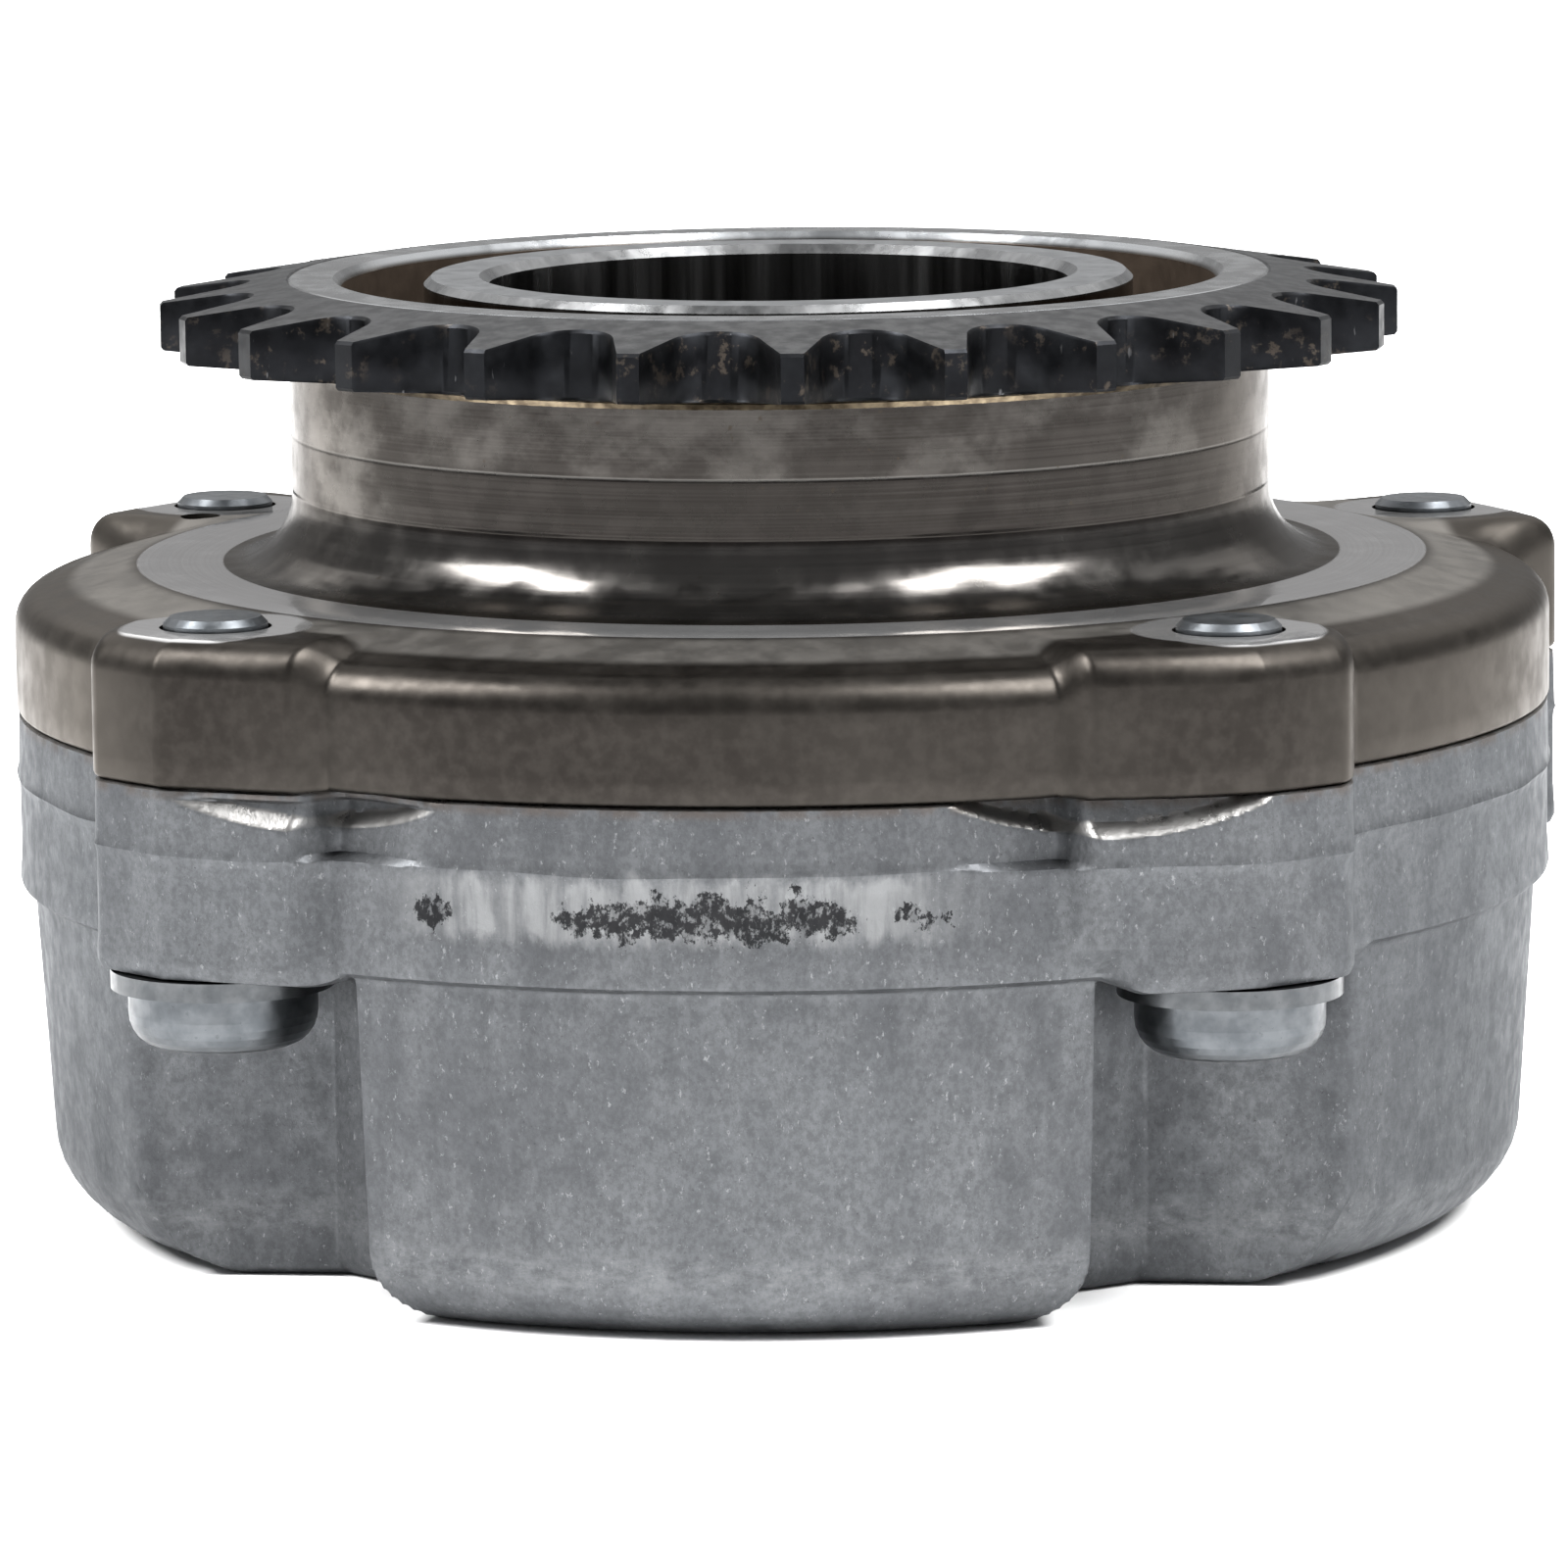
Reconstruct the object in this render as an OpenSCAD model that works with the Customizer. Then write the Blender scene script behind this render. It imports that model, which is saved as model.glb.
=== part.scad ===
// Hydraulic camshaft phaser with a chain sprocket on its neck.
// Z is the turning axis, pointing from the housing's flat bottom to the sprocket.
// An angle "a" is measured from -Y towards +X, which is a positive turn about +Z.

/* [Sprocket] */
// Number of teeth
teeth = 25; // [24:1:28]
// Pitch of the bush chain
chain_pitch = 8; // [8:0.25:9]
// Diameter of the chain's bush
bush_d = 5; // [4.8:0.1:5.2]
// Thickness of the sprocket at its bore
sprocket_t = 4.25; // [3.8:0.05:4.6]
// How far the cone of the top face drops from the bore to the tooth tips
sprocket_relief = 1.05; // [0.6:0.05:1.3]
// How far the cone of the underside rises from the bore to the tooth tips
sprocket_under = 0.6; // [0.4:0.05:0.8]
// Width of the land on a tooth's tip
tip_land = 1.2; // [1:0.05:1.5]

/* [Heights] */
// Overall height, from the housing's bottom to the end of the neck
total_h = 51.6; // [50:0.1:54]
// Height of the cover's screw face above the housing's bottom
flange_top_z = 36.1; // [35.5:0.1:36.8]
// Height of the joint between housing and cover
joint_z = 28.2; // [27.8:0.1:28.6]
// Height of the underside of the housing's flange
flange_low_z = 18; // [17.6:0.1:18.4]
// Thickness of the housing's floor
floor_t = 4; // [4:0.1:5]

/* [Neck and sleeve] */
// Outer radius of the cover's neck
neck_r = 27; // [26.5:0.1:27.2]
// Inner radius of the cover's neck
neck_bore_r = 24.1; // [24:0.1:24.4]
// Radius of the fillet between the neck and the flange
neck_fillet = 4.3; // [3:0.1:5]
// Outer radius of the rotor's sleeve
sleeve_r = 19.55; // [19.3:0.05:19.7]
// Radius of the camshaft bore in the sleeve
cam_bore_r = 16; // [15:0.1:16.2]
// Radius of the central bolt's hole in the sleeve's shoulder
bolt_hole_r = 8; // [6:0.25:9]

/* [Outline] */
// Radius of the flange over a pressure chamber
arc_r = 42.4; // [42.2:0.1:42.8]
// Radius of the flange over a screw boss
boss_r = 46.5; // [46.2:0.1:47]
// Radius of the lower housing over a chamber, at the flange
lobe_r = 41.6; // [41:0.1:41.8]
// Radius of the pockets under the screw heads
pocket_r = 33; // [32.6:0.1:33.4]
// Angle between neighbouring screws, except across the wide chamber
screw_gap = 81; // [80.5:0.5:82]
// Radius of the screw circle
screw_circle_r = 40.8; // [40.6:0.1:41]

/* [Rotor] */
// Angle that the rotor turns between its stops
travel = 27; // [20:1:27]
// Angular width of a plain vane
vane_w = 19; // [17:0.5:19]
// Angular width of the wide vane, which holds the lock pin
wide_vane_w = 56; // [50:0.5:56]
// Radius of the rotor's hub
hub_r = 23.5; // [23.4:0.1:23.8]
// Radius of the pressure chambers
chamber_r = 37.6; // [37:0.1:37.8]

/* [Hidden] */
$fn = 96;
joint_gap = 0.05;          // between the housing's face and the cover's face
run_gap = 0.05;            // radial clearance of the cover's bearing on the sleeve
side_gap = 0.1;            // clearance at each end face of the rotor
tip_gap = 0.15;            // between a vane's tip and its chamber
stop_gap = 0.3;            // degrees left at each stop

cover_z = joint_z + joint_gap;
rotor_z0 = floor_t + side_gap;
rotor_z1 = joint_z - side_gap;
rotor_h = rotor_z1 - rotor_z0;
pitch_r = chain_pitch / (2 * sin(180 / teeth));
tip_r = chain_pitch * (0.6 + 1 / tan(180 / teeth)) / 2;
sprocket_z0 = total_h - sprocket_t;

// Angles of the screws, then of the chambers between them. The wide chamber is at 180.
screw_a = [-1.5 * screw_gap, -0.5 * screw_gap, 0.5 * screw_gap, 1.5 * screw_gap];
chamber_a = [-screw_gap, 0, screw_gap, 180];
chamber_w = [for (w = [vane_w, vane_w, vane_w, wide_vane_w]) w + travel + 2 * stop_gap];
vane_a = [for (a = chamber_a) a - travel / 2];
vane_widths = [vane_w, vane_w, vane_w, wide_vane_w];

// Screws: thread, head and washer
thread_r = 2.75;
clear_r = 3;
screw_proud = 0.45;
washer_r = 5.9;
washer_t = 1;
head_r = 5;
head_h = 3.1;
key_r = 1.75;
key_depth = 1.6;

// Seals in the vane tips and in the webs
seal_w = 1.5;
slot_w = 1.6;
vane_seal_len = 2.6;
vane_slot_len = 3.2;
web_seal_len = 1.9;
web_slot_len = 2.4;
leaf_t = 0.15;
// The wide vane's seal stands clear of the lock pin
vane_seal_a = [vane_a[0], vane_a[1], vane_a[2], vane_a[3] + 18];

// Lock pin, in the wide vane
lock_r = 30.5;
lock_a = vane_a[3];
pin_r = 4;
pin_head_r = 4.9;
pin_head_h = 3;
pin_z0 = 15;
pin_z1 = rotor_z1 - 0.2;
pin_travel = 3.5;
bush_out_r = 5.6;
bush_h = 4.4;
seat_h = 1.5;

// Sleeve's shoulder, on which the camshaft's nose seats
shoulder_z0 = 6;
shoulder_z1 = 10.5;
front_hole_r = 14;
dowel_hole_at = 12;
dowel_hole_r = 1.5;

// Return spring, between the sleeve and the neck
spring_wire_r = 1.2;
spring_r = (neck_bore_r + sleeve_r) / 2;
spring_z0 = 33.8;
spring_pitch = 3.1;
spring_turns = 3.5;
bearing_z1 = 32.1;

// Oil galleries from the sleeve to the chambers
gallery_z = 17;
gallery_rise = 3;

// ---- helpers ----

function polar(r, a) = [r * sin(a), -r * cos(a)];
function smooth(t) = let (u = min(max(t, 0), 1)) u * u * (3 - 2 * u);
function turn_between(a, b) = abs((a - b + 540) % 360 - 180);
function nearest(a, places) = min([for (p = places) turn_between(a, p)]);

// How far the flange's outline stands out at angle a: 0 over a chamber, 1 on a boss. A front
// boss is lopsided: it rises in a straight ramp on its inner side and drops on its outer one.
function boss_weight(a) = let (b = turn_between(a, 0) - screw_gap / 2)
    b < screw_gap / 2
        ? min(min(max((b + boss_ramp_start) / boss_ramp, 0), 1), smooth((boss_end - b) / boss_fall))
        : smooth((boss_wide - abs(b - screw_gap)) / (boss_wide - boss_flat));

// Radius of the pocket under a screw head. Outside each front screw its wall is a flat
// that faces forwards.
function pocket_at(a) = let (b = turn_between(a, 0))
    b > screw_gap / 2 && b < screw_gap / 2 + 14 ? max(pocket_r, pocket_wall / cos(b)) : pocket_r;

function pocket_weight(a) = smooth((pocket_wide - nearest(a, screw_a)) / (pocket_wide - pocket_flat));

function outline_angles() = [for (a = [0 : 0.5 : 359.5]) if (nearest(a, screw_a) < 15 || a % 2 == 0) a];

module boss_outline(r_arc, r_boss)
    polygon([for (a = outline_angles()) polar(r_arc + (r_boss - r_arc) * boss_weight(a), a)]);

module pocket_outline(r_lobe)
    polygon([for (a = outline_angles()) polar(r_lobe + (pocket_at(a) - r_lobe) * pocket_weight(a), a)]);

// Profile of a disc of radius r from z0 to z1 whose top edge is rounded by "edge"
module round_disc(r, z0, z1, edge)
    rotate_extrude()
        polygon(concat(
            [[0, z0], [r, z0]],
            [for (t = [0 : 15 : 90]) [r - edge + edge * cos(t), z1 - edge + edge * sin(t)]],
            [[0, z1]]
        ));

// A ring sector from radius r0 to r1, of angular width w, centred on angle a
module sector(r0, r1, a, w, step = 2)
{
    n = ceil(w / step);
    polygon(concat(
        [for (i = [0 : n]) polar(r1, a - w / 2 + w * i / n)],
        [for (i = [n : -1 : 0]) polar(r0, a - w / 2 + w * i / n)]
    ));
}

// Puts its children at radius r and angle a, with +X pointing outwards
module at_polar(r, a, z = 0)
    rotate([0, 0, a - 90]) translate([r, 0, z]) children();

// A round wire along a helix about Z. Straight tangs run in at its bottom and out at its top.
function coil_path(r, z0, pitch, turns, a0, per_turn, tang_in, tang_out) = concat(
    tang_in > 0 ? [concat(polar(r - tang_in, a0), [z0])] : [],
    [for (i = [0 : turns * per_turn])
        concat(polar(r, a0 + 360 * i / per_turn), [z0 + pitch * i / per_turn])],
    tang_out > 0 ? [concat(polar(r + tang_out, a0 + 360 * turns), [z0 + pitch * turns])] : []
);

module sweep(path, wire_r, sides)
{
    n = len(path);
    unit = function (v) v / norm(v);
    rings = [for (i = [0 : n - 1])
        let (d = unit(path[min(i + 1, n - 1)] - path[max(i - 1, 0)]),
             side = unit(cross(d, [0, 0, 1])),
             up = cross(side, d))
        for (k = [0 : sides - 1])
            path[i] + wire_r * (cos(360 * k / sides) * side + sin(360 * k / sides) * up)];
    walls = [for (i = [0 : n - 2]) for (k = [0 : sides - 1])
        let (k2 = (k + 1) % sides)
            [i * sides + k, i * sides + k2, (i + 1) * sides + k2, (i + 1) * sides + k]];
    polyhedron(rings, concat(
        [[for (k = [sides - 1 : -1 : 0]) k]],
        walls,
        [[for (k = [0 : sides - 1]) (n - 1) * sides + k]]
    ), convexity = 8);
}

// ---- outer pieces ----

boss_ramp_start = 14.3;  // inside a front screw, where its boss starts to rise
boss_ramp = 12;      // width of that rise
boss_end = 10.7;     // outside a front screw, where its boss has run out
boss_fall = 7;       // width of that fall
boss_flat = 7;       // half-angle of a rear boss's full radius
boss_wide = 11.5;    // half-angle at which a rear boss has run out
pocket_flat = 10.6;  // half-angle of a pocket's full depth
pocket_wide = 12.6;  // half-angle at which a pocket has run out
pocket_wall = 24.9;  // from the axis to the flat wall outside each front screw
bottom_edge = 3.5;   // rounding along the housing's bottom edge
draft = 0.8;         // loss of radius down the lower housing's wall
bevel_z0 = 18.1;     // bevel from the lower wall to the flange
bevel_z1 = 18.8;
cover_edge = 1.8;    // rounding along the cover's top edge
notch_r = 19.5;      // lens-shaped notches in the flange's top edge
notch_h = 1.9;
notch_depth = 1;
notch_a = 28.3;
locating_r = 38.8;   // small hole near a rear screw
locating_a = -114.4;

// Revolved envelope of the lower housing: rounded bottom edge, draft and bevel
module lower_envelope()
    rotate_extrude()
        polygon(concat(
            [[0, 0]],
            [for (t = [-90 : 15 : 0])
                [lobe_r - draft - bottom_edge + bottom_edge * cos(t), bottom_edge + bottom_edge * sin(t)]],
            [[lobe_r, bevel_z0], [arc_r, bevel_z1], [0, bevel_z1]]
        ));

module screw_places()
    for (a = screw_a) at_polar(screw_circle_r, a) children();

// Material above a lens-shaped curve, outside the notched outline
module notch(a)
    intersection() {
        at_polar(30, a, joint_z + notch_r - notch_h) rotate([0, 90, 0]) cylinder(r = notch_r, h = 20);
        translate([0, 0, joint_z - 3]) linear_extrude(4) difference() {
            circle(60);
            boss_outline(arc_r - notch_depth, boss_r - notch_depth);
        }
    }

module housing()
    color([0.68, 0.69, 0.71])
    difference() {
        union() {
            intersection() {
                linear_extrude(bevel_z1) pocket_outline(arc_r + 3);
                lower_envelope();
            }
            translate([0, 0, flange_low_z]) linear_extrude(joint_z - flange_low_z)
                boss_outline(arc_r - cover_edge, boss_r);
            translate([0, 0, bevel_z1]) cylinder(r = arc_r, h = joint_z - bevel_z1);
        }
        // rotor space and pressure chambers
        translate([0, 0, floor_t]) cylinder(r = hub_r + tip_gap, h = joint_z);
        for (i = [0 : 3]) translate([0, 0, floor_t]) linear_extrude(joint_z)
            sector(hub_r - 2, chamber_r, chamber_a[i], chamber_w[i]);
        // slots for the web seals
        for (a = screw_a) at_polar(hub_r - 1, a, floor_t)
            translate([0, -slot_w / 2, 0]) cube([1 + tip_gap + web_slot_len, slot_w, joint_z]);
        // opening for the central bolt
        translate([0, 0, -1]) cylinder(r = front_hole_r, h = floor_t + 2);
        // clearance holes for the screws
        screw_places() translate([0, 0, flange_low_z - 1]) cylinder(r = clear_r, h = joint_z);
        for (s = [-1, 1]) notch(s * notch_a);
        // locating hole
        at_polar(locating_r, locating_a, joint_z - 3) cylinder(r = 1.15, h = 4);
    }

module cover()
    color([0.55, 0.53, 0.50])
    difference() {
        union() {
            // flange: a disc over the chambers, and the screw bosses
            round_disc(arc_r, cover_z, flange_top_z, cover_edge);
            intersection() {
                translate([0, 0, cover_z]) linear_extrude(flange_top_z - cover_z)
                    boss_outline(arc_r - cover_edge, boss_r);
                round_disc(boss_r, cover_z, flange_top_z, cover_edge);
            }
            // neck, with the fillet at its foot
            rotate_extrude() polygon(concat(
                [[0, cover_z], [neck_r + neck_fillet, cover_z]],
                [for (t = [0 : 10 : 90]) [neck_r + neck_fillet - neck_fillet * sin(t),
                    flange_top_z + neck_fillet - neck_fillet * cos(t)]],
                [[neck_r, total_h], [0, total_h]]
            ));
        }
        // the bearing on the sleeve, the spring's room and its lead-in
        translate([0, 0, cover_z - 1]) cylinder(r = sleeve_r + run_gap, h = total_h);
        translate([0, 0, bearing_z1]) cylinder(r = neck_bore_r, h = total_h);
        translate([0, 0, total_h - 0.4]) cylinder(r1 = neck_bore_r, r2 = neck_bore_r + 0.5, h = 0.5);
        // threaded holes
        translate([0, 0, cover_z - 1]) screw_places() cylinder(r = thread_r, h = 12);
        // seats of the two lock bushes, each vented through the flange
        for (a = [lock_a, lock_a + travel]) {
            at_polar(lock_r, a, cover_z - 1) cylinder(r = bush_out_r, h = 1 + bush_h);
            at_polar(lock_r, a, cover_z) cylinder(r = 0.8, h = 12);
        }
        // locating hole
        at_polar(locating_r, locating_a, cover_z - 1) cylinder(r = 1.15, h = 12);
        // notch that holds the return spring's outer tang
        at_polar(neck_bore_r - 1, spring_end_a, spring_z0 + spring_pitch * spring_turns)
            translate([0, -spring_wire_r - 0.1, -spring_wire_r - 0.1])
                cube([2.3, 2 * spring_wire_r + 0.2, 2 * spring_wire_r + 0.2]);
    }

// One gap between two teeth, with +X outwards: a round seat for the bush, and straight
// flanks tangent to it that pass through the edges of the tips
module tooth_gap()
{
    half_gap = tip_r * sin(180 / teeth) - tip_land / 2;
    edge_x = sqrt(tip_r * tip_r - half_gap * half_gap);
    seat_r = 0.505 * bush_d;
    reach = norm([edge_x - pitch_r, half_gap]);
    tangent = atan2(half_gap, edge_x - pitch_r) + acos(seat_r / reach);
    flank = tangent - 90;
    turn = (360 - 2 * tangent) / 20;
    seat = [for (i = [0 : 20])
        [pitch_r + seat_r * cos(tangent + i * turn), seat_r * sin(tangent + i * turn)]];
    out = 6 * [cos(flank), sin(flank)];
    linear_extrude(20)
        polygon(concat([seat[0] + out], seat, [[seat[0][0] + out[0], -seat[0][1] - out[1]]]));
}

module sprocket()
    color([0.16, 0.17, 0.18])
    difference() {
        rotate_extrude() polygon([
            [neck_r, sprocket_z0], [tip_r, sprocket_z0 + sprocket_under],
            [tip_r, total_h - sprocket_relief], [neck_r, total_h]
        ]);
        for (i = [0 : teeth - 1])
            at_polar(0, i * 360 / teeth, sprocket_z0 - 5) tooth_gap();
    }

// Fillet of braze in the corner between the neck and the sprocket's underside
module braze_ring()
    color([0.72, 0.55, 0.28])
        rotate_extrude() polygon([
            [neck_r, sprocket_z0 - 0.45], [neck_r + 0.15, sprocket_z0 - 0.15],
            [neck_r + 0.45, sprocket_z0], [neck_r, sprocket_z0]
        ]);

module screw()
    color([0.75, 0.76, 0.78])
    difference() {
        rotate_extrude() polygon(concat(
            [[0, flange_low_z - washer_t - head_h]],
            [for (t = [0 : 15 : 90])
                [head_r - 1.6 + 1.6 * sin(t), flange_low_z - washer_t - head_h + 1.8 - 1.8 * cos(t)]],
            [[head_r, flange_low_z - washer_t], [thread_r, flange_low_z - washer_t],
             [thread_r, flange_top_z + screw_proud - 0.35], [thread_r - 0.35, flange_top_z + screw_proud],
             [0, flange_top_z + screw_proud]]
        ));
        translate([0, 0, flange_low_z - washer_t - head_h - 1])
            cylinder(r = key_r, h = 1 + key_depth, $fn = 6);
    }

module washer()
    color([0.80, 0.81, 0.83])
    difference() {
        translate([0, 0, flange_low_z - washer_t]) cylinder(r = washer_r, h = washer_t);
        translate([0, 0, flange_low_z - washer_t - 1]) cylinder(r = clear_r, h = washer_t + 2);
    }

// ---- rotor ----

module rotor()
    color([0.45, 0.46, 0.48])
    difference() {
        union() {
            translate([0, 0, rotor_z0]) cylinder(r = hub_r, h = rotor_h);
            for (i = [0 : 3]) translate([0, 0, rotor_z0]) linear_extrude(rotor_h)
                sector(hub_r - 2, chamber_r - tip_gap, vane_a[i], vane_widths[i]);
        }
        translate([0, 0, rotor_z0 - 1]) cylinder(r = sleeve_r, h = rotor_h + 2);
        // slots for the vane seals
        for (a = vane_seal_a) at_polar(chamber_r - tip_gap - vane_slot_len, a, rotor_z0 - 1)
            translate([0, -slot_w / 2, 0]) cube([vane_slot_len + 2, slot_w, rotor_h + 2]);
        // stepped bore of the lock pin
        at_polar(lock_r, lock_a, rotor_z0 - 1)
            cylinder(r = pin_head_r + 0.05, h = pin_z0 + pin_head_h + pin_travel + 1.2 - rotor_z0);
        at_polar(lock_r, lock_a, rotor_z0) cylinder(r = pin_r + 0.05, h = rotor_h + 1);
        // oil galleries, one on each side of a vane
        for (i = [0 : 3]) for (s = [-1, 1])
            at_polar(sleeve_r - 1, vane_a[i] + s * (vane_widths[i] / 2 + 5), gallery_z + s * gallery_rise)
                rotate([0, 90, 0]) cylinder(r = 1.2, h = 8);
    }

module sleeve()
    color([0.78, 0.79, 0.81])
    difference() {
        rotate_extrude() polygon([
            [bolt_hole_r, shoulder_z0], [sleeve_r - 0.4, shoulder_z0], [sleeve_r, shoulder_z0 + 0.4],
            [sleeve_r, total_h - 0.4], [sleeve_r - 0.4, total_h],
            [cam_bore_r + 0.5, total_h], [cam_bore_r, total_h - 0.5],
            [cam_bore_r, shoulder_z1], [bolt_hole_r, shoulder_z1]
        ]);
        // hole for the dowel on the camshaft's nose
        at_polar(dowel_hole_at, 0, shoulder_z0 - 1) cylinder(r = dowel_hole_r, h = 8);
        // slot of the return spring's inner tang, which lies against one end of it at the retard stop
        translate([0, 0, spring_z0 - spring_wire_r - 0.1]) linear_extrude(2 * spring_wire_r + 0.2)
            sector(sleeve_r - 1.8, sleeve_r + 1, -travel / 2, travel + 9);
        // oil galleries
        for (i = [0 : 3]) for (s = [-1, 1])
            at_polar(cam_bore_r - 1, vane_a[i] + s * (vane_widths[i] / 2 + 5), gallery_z + s * gallery_rise)
                rotate([0, 90, 0]) cylinder(r = 1.2, h = 8);
    }

spring_end_a = 360 * spring_turns;

module return_spring()
    color([0.35, 0.33, 0.32])
        sweep(coil_path(spring_r, spring_z0, spring_pitch, spring_turns, 0, 28, 3.2, 3.2), spring_wire_r, 8);

module vane_seal(i)
    color([0.12, 0.12, 0.13])
        at_polar(chamber_r - 0.05 - vane_seal_len, vane_seal_a[i], rotor_z0)
            translate([0, -seal_w / 2, 0]) cube([vane_seal_len, seal_w, rotor_h]);

module web_seal(i)
    color([0.12, 0.12, 0.13])
        at_polar(hub_r + 0.05, screw_a[i], rotor_z0)
            translate([0, -seal_w / 2, 0]) cube([web_seal_len, seal_w, rotor_h]);

// A bowed leaf spring, "room" wide along X, standing on Z
module leaf(room, h)
{
    bow = room - leaf_t;
    n = 12;
    translate([0, seal_w / 2 - 0.1, 0]) rotate([90, 0, 0]) linear_extrude(seal_w - 0.2)
        polygon(concat(
            [for (k = [0 : n]) [bow * sin(180 * k / n), h * k / n]],
            [for (k = [n : -1 : 0]) [bow * sin(180 * k / n) + leaf_t, h * k / n]]
        ));
}

module vane_seal_spring(i)
    color([0.6, 0.61, 0.63])
        at_polar(chamber_r - tip_gap - vane_slot_len + 0.02, vane_seal_a[i], rotor_z0 + 1)
            leaf(vane_slot_len - vane_seal_len + tip_gap - 0.1, rotor_h - 2);

module web_seal_spring(i)
    color([0.6, 0.61, 0.63])
        at_polar(hub_r + 0.07 + web_seal_len, screw_a[i], rotor_z0 + 1)
            leaf(web_slot_len - web_seal_len + tip_gap - 0.1, rotor_h - 2);

// ---- lock ----

module lock_pin()
    color([0.70, 0.71, 0.73])
        at_polar(lock_r, lock_a) difference() {
            rotate_extrude() polygon([
                [0, pin_z0], [pin_head_r, pin_z0], [pin_head_r, pin_z0 + pin_head_h],
                [pin_r, pin_z0 + pin_head_h], [pin_r, pin_z1 - 0.8], [pin_r - 0.4, pin_z1], [0, pin_z1]
            ]);
            translate([0, 0, pin_z0 - 1]) cylinder(r = 2.7, h = 9);
        }

module lock_spring()
    color([0.6, 0.61, 0.63])
        at_polar(lock_r, lock_a)
            sweep(coil_path(2.15, rotor_z0 + seat_h + 0.35, 2.36, 7, 0, 16, 0, 0), 0.3, 6);

module lock_spring_seat()
    color([0.6, 0.61, 0.63])
        at_polar(lock_r, lock_a, rotor_z0) cylinder(r = pin_head_r, h = seat_h);

module lock_bush(a)
    color([0.62, 0.60, 0.56])
        at_polar(lock_r, a, cover_z) difference() {
            cylinder(r = bush_out_r, h = bush_h);
            translate([0, 0, -1]) cylinder(r = pin_r + 0.15, h = bush_h + 2);
        }

housing();
cover();
sprocket();
braze_ring();
rotor();
sleeve();
return_spring();
for (i = [0 : 3]) {
    vane_seal(i);
    vane_seal_spring(i);
    web_seal(i);
    web_seal_spring(i);
    at_polar(screw_circle_r, screw_a[i]) screw();
    at_polar(screw_circle_r, screw_a[i]) washer();
}
lock_pin();
lock_spring();
lock_spring_seat();
lock_bush(lock_a);  // lock_bush_retard
lock_bush(lock_a + travel);  // lock_bush_advance
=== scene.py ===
import math

import bmesh
import bpy
from mathutils import Matrix, Vector, noise


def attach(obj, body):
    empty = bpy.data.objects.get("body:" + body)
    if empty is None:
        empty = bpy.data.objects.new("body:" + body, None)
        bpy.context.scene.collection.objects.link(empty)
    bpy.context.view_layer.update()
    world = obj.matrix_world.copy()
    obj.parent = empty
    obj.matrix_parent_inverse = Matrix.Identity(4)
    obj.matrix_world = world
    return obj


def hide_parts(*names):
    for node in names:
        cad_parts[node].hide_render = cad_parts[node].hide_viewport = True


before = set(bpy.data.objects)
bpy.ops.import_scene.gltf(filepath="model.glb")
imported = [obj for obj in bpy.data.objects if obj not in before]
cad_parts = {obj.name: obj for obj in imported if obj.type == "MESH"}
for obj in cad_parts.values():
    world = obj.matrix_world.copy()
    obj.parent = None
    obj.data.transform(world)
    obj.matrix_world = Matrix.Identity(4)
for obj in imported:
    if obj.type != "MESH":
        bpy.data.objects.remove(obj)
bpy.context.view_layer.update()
MM = 0.001

# ---- sizes in millimetres and degrees, as in the CAD ----
TOTAL_H, FLANGE_TOP, JOINT, FLANGE_LOW, FLOOR = 51.6, 36.1, 28.2, 18.0, 4.0
COVER_Z = JOINT + 0.05
NECK_R, NECK_BORE, NECK_BORE_Z, SLEEVE_R = 27.0, 24.1, 32.1, 19.55
ARC_R, BOSS_R, LOBE_R, POCKET_R, POCKET_WALL = 42.4, 46.5, 41.6, 33.0, 24.9
HUB_R, CHAMBER_R, TIP_GAP, FRONT_HOLE = 23.5, 37.6, 0.15, 14.0
SEAL_SLOT = (2.4, 0.8)  # depth and half width
SCREW_R, SCREW_A = 40.8, [-121.5, -40.5, 40.5, 121.5]
CHAMBERS = [(-81, 46.6), (0, 46.6), (81, 46.6), (180, 83.6)]
LOCATING = (38.8, -114.4)
VENTS = [(30.5, 166.5), (30.5, 193.5)]  # above the lock bushes
SCREW_HOLE_R, LOCATING_HOLE_R, VENT_R, BUSH_SEAT_R, BUSH_SEAT_H = 2.95, 1.15, 0.8, 5.6, 4.4
TEETH, PITCH_R, TIP_R, SEAT_R, TIP_LAND = 25, 31.915, 34.063, 2.525, 1.2
SPROCKET_Z, RELIEF, UNDER = 47.35, 1.05, 0.6
BEVEL = (18.1, 18.8)
DRAFT = 0.8
FRONT_BOSS, REAR_BOSS = (26.2, 51.2), (121.5, 11.5)  # first and last angle; centre and half width
FLAT_WALL = (40.5, 54.5)
WELL_CORNER = 1.5

# ---- sizes read from the photo, left out of the CAD or different there ----
FILLET, COVER_EDGE = 3.8, 1.9
LAND = (30.9, 35.6)  # machined, from the fillet out
LAND_EDGE = 36.1
POCKET_HALF, POCKET_SOFT = 12.8, 2.4  # angles
FLASH_Z = 24.6  # the casting's parting line
BOSS_SHIFT = (-1.6, 0.6)  # turns of the inner ends of the front bosses, left and right
LOBE_SHIFT = (-1.4, 0.7)  # turns of the front lobe's side walls, left and right
NOTCHES = [(-28.3, 0.85), (28.3, 1.2)]  # angle and depth
NOTCH_HALF, NOTCH_H, NOTCH_AT_R = 8.6, 1.95, 44
SCOOP = (17, 28.2, 1.1)  # first and last angle, depth
SHOULDER_STEP = 1.0
FRONT_CORNER, SIDE_CORNER = (3.5, 3.5), (6.2, 5.0)  # a lobe's lower edge, inwards and upwards
LINE_HIGH, LINE_LOW = 43.2, 40.02  # the two fine lines turned into the neck


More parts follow.
